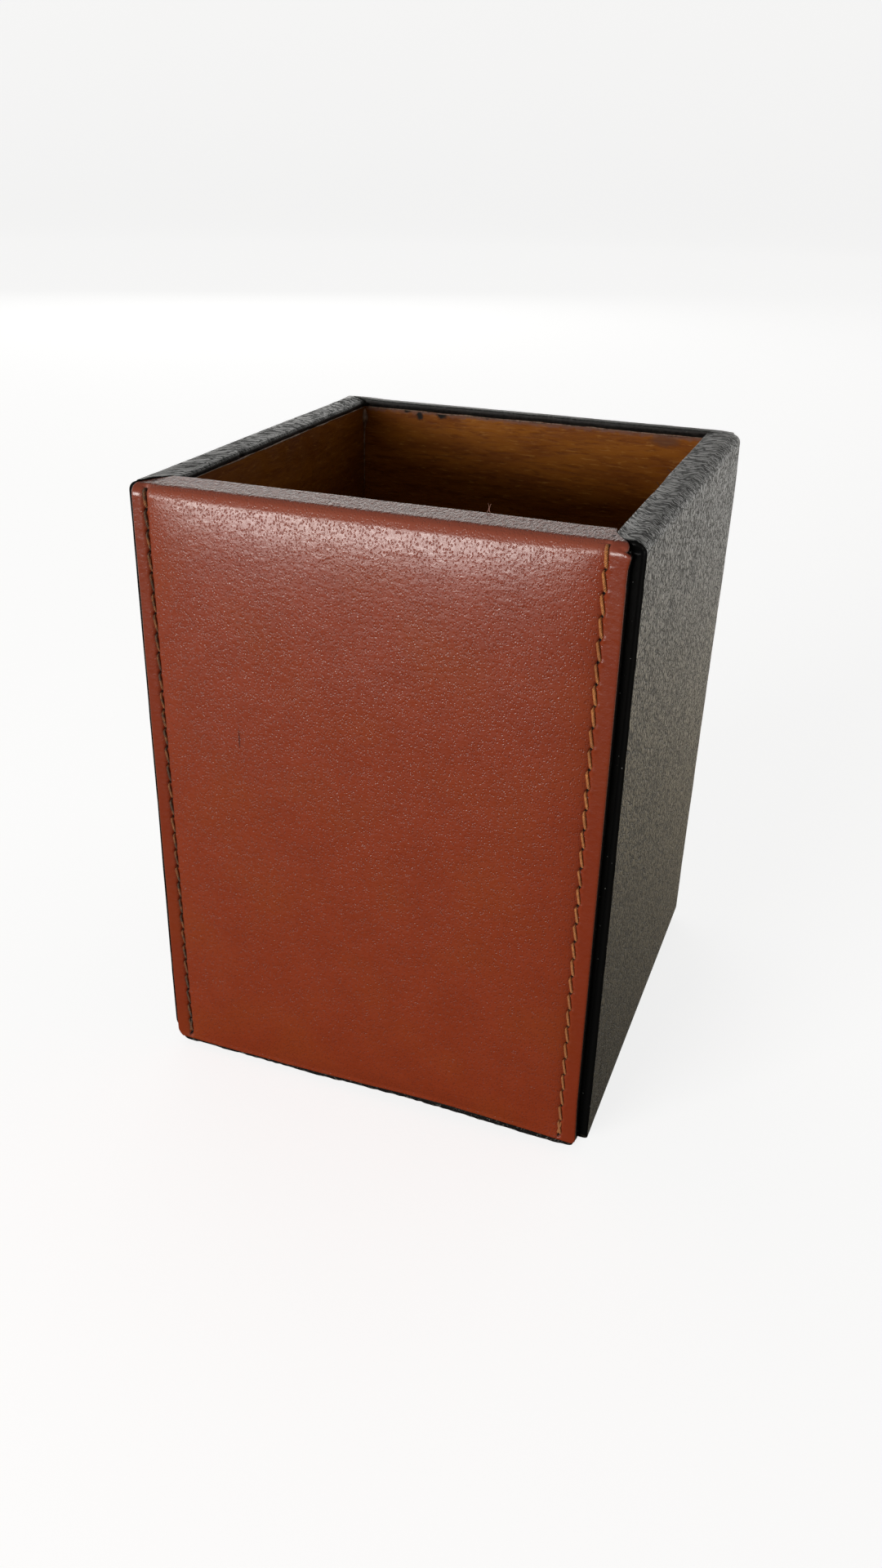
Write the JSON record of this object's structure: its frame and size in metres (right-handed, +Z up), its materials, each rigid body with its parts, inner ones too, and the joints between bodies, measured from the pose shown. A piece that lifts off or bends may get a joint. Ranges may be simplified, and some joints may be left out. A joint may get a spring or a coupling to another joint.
{
  "type": "leather desk and dice cup",
  "caption": "Square open-topped cup: a wooden box wrapped in black leather, with a padded, stitched red-brown leather front panel.",
  "frame": {"origin": "centre of the bounding box's bottom face, on the plane the cup stands on", "axes": "+X to the right seen from the red front panel, +Y towards the back wall, +Z up"},
  "size_m": [0.076, 0.079, 0.1],
  "materials": {
    "stained_wood": "brown-stained, varnished close-grained wood, grain level",
    "pin_steel": "plain steel wire",
    "black_leather": "satin, fine creased grain",
    "grey_card": "matt grey board",
    "base_felt": "black needle felt",
    "black_backing": "black-dyed leatherboard, painted edge",
    "foam": "thin open-cell foam",
    "red_leather": "satin red-brown pebbled leather",
    "gloss_black_edge": "gloss black edge coat",
    "ochre_thread": "twisted ochre polyester thread"
  },
  "bodies": {
    "root": {"front_board": "stained_wood", "back_board": "stained_wood", "left_board": "stained_wood", "right_board": "stained_wood", "floor_board": "stained_wood", "corner_pins": "pin_steel", "floor_pins": "pin_steel", "leather_wrap": "black_leather", "front_infill_card": "grey_card", "base_infill_card": "grey_card", "base_pad": "base_felt", "front_panel_backing": "black_backing", "front_padding": "foam", "front_leather": "red_leather", "front_edge_strip_left": "gloss_black_edge", "front_edge_strip_right": "gloss_black_edge", "stitching_thread_left": "ochre_thread", "stitching_thread_right": "ochre_thread", "bobbin_thread_left": "ochre_thread", "bobbin_thread_right": "ochre_thread"}
  },
  "joints": []
}
